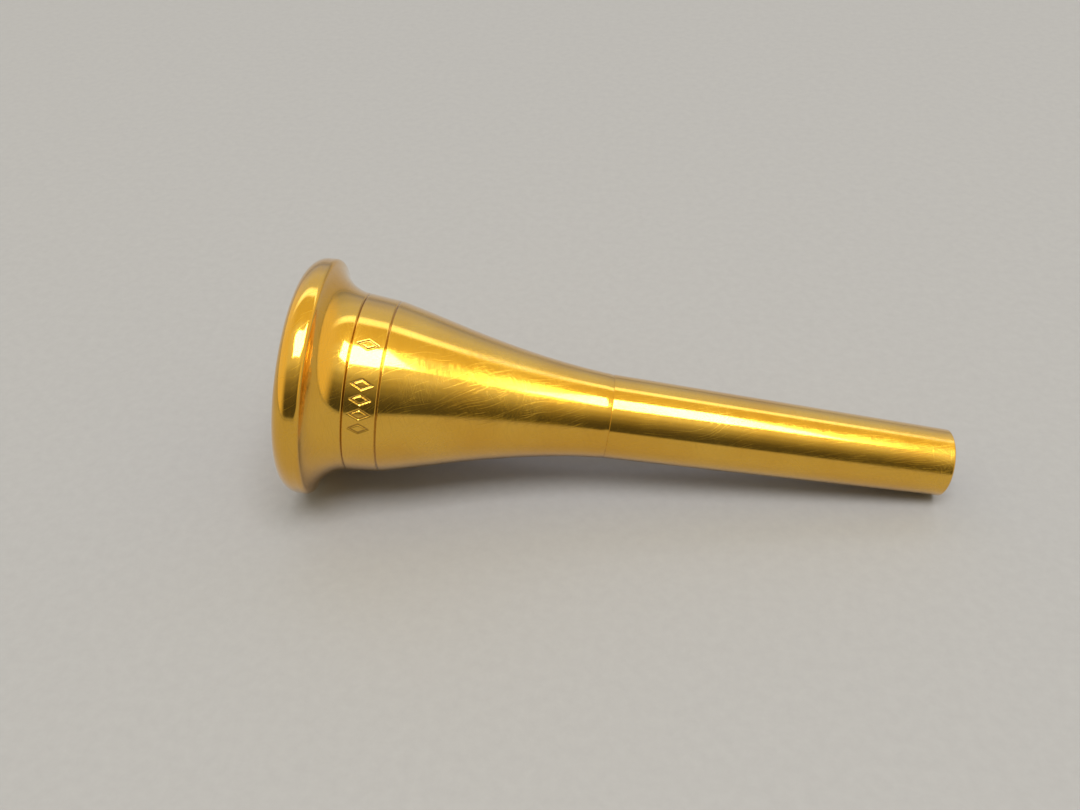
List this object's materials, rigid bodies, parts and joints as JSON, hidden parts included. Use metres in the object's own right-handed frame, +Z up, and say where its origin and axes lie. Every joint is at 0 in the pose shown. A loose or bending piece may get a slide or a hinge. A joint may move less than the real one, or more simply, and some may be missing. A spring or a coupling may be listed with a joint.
{
  "type": "french horn mouthpiece",
  "caption": "Horn mouthpiece with a rounded screw-on rim, funnel cup, banded neck and a slim tapered shank.",
  "frame": {"origin": "centre of the bounding box on the surface that it lies on", "axes": "+Z up; it lies on its side, with the rim towards -X and the shank's tip towards +X, and its own axis falls by about 7.7 degrees towards +X"},
  "size_m": [0.0672, 0.024, 0.0239],
  "materials": {
    "polished_gold_plate": "polished",
    "brushed_gold_plate": "satin"
  },
  "bodies": {
    "mouthpiece_body": {"cup": "brushed_gold_plate", "shank": "brushed_gold_plate"},
    "screw_rim": {"rim": "polished_gold_plate"}
  },
  "joints": [
    {"name": "rim_removal", "type": "slide", "parent": "mouthpiece_body", "child": "screw_rim", "axis": [-0.9909, 0, 0.1344], "range_m": [0, 0.012]}
  ]
}
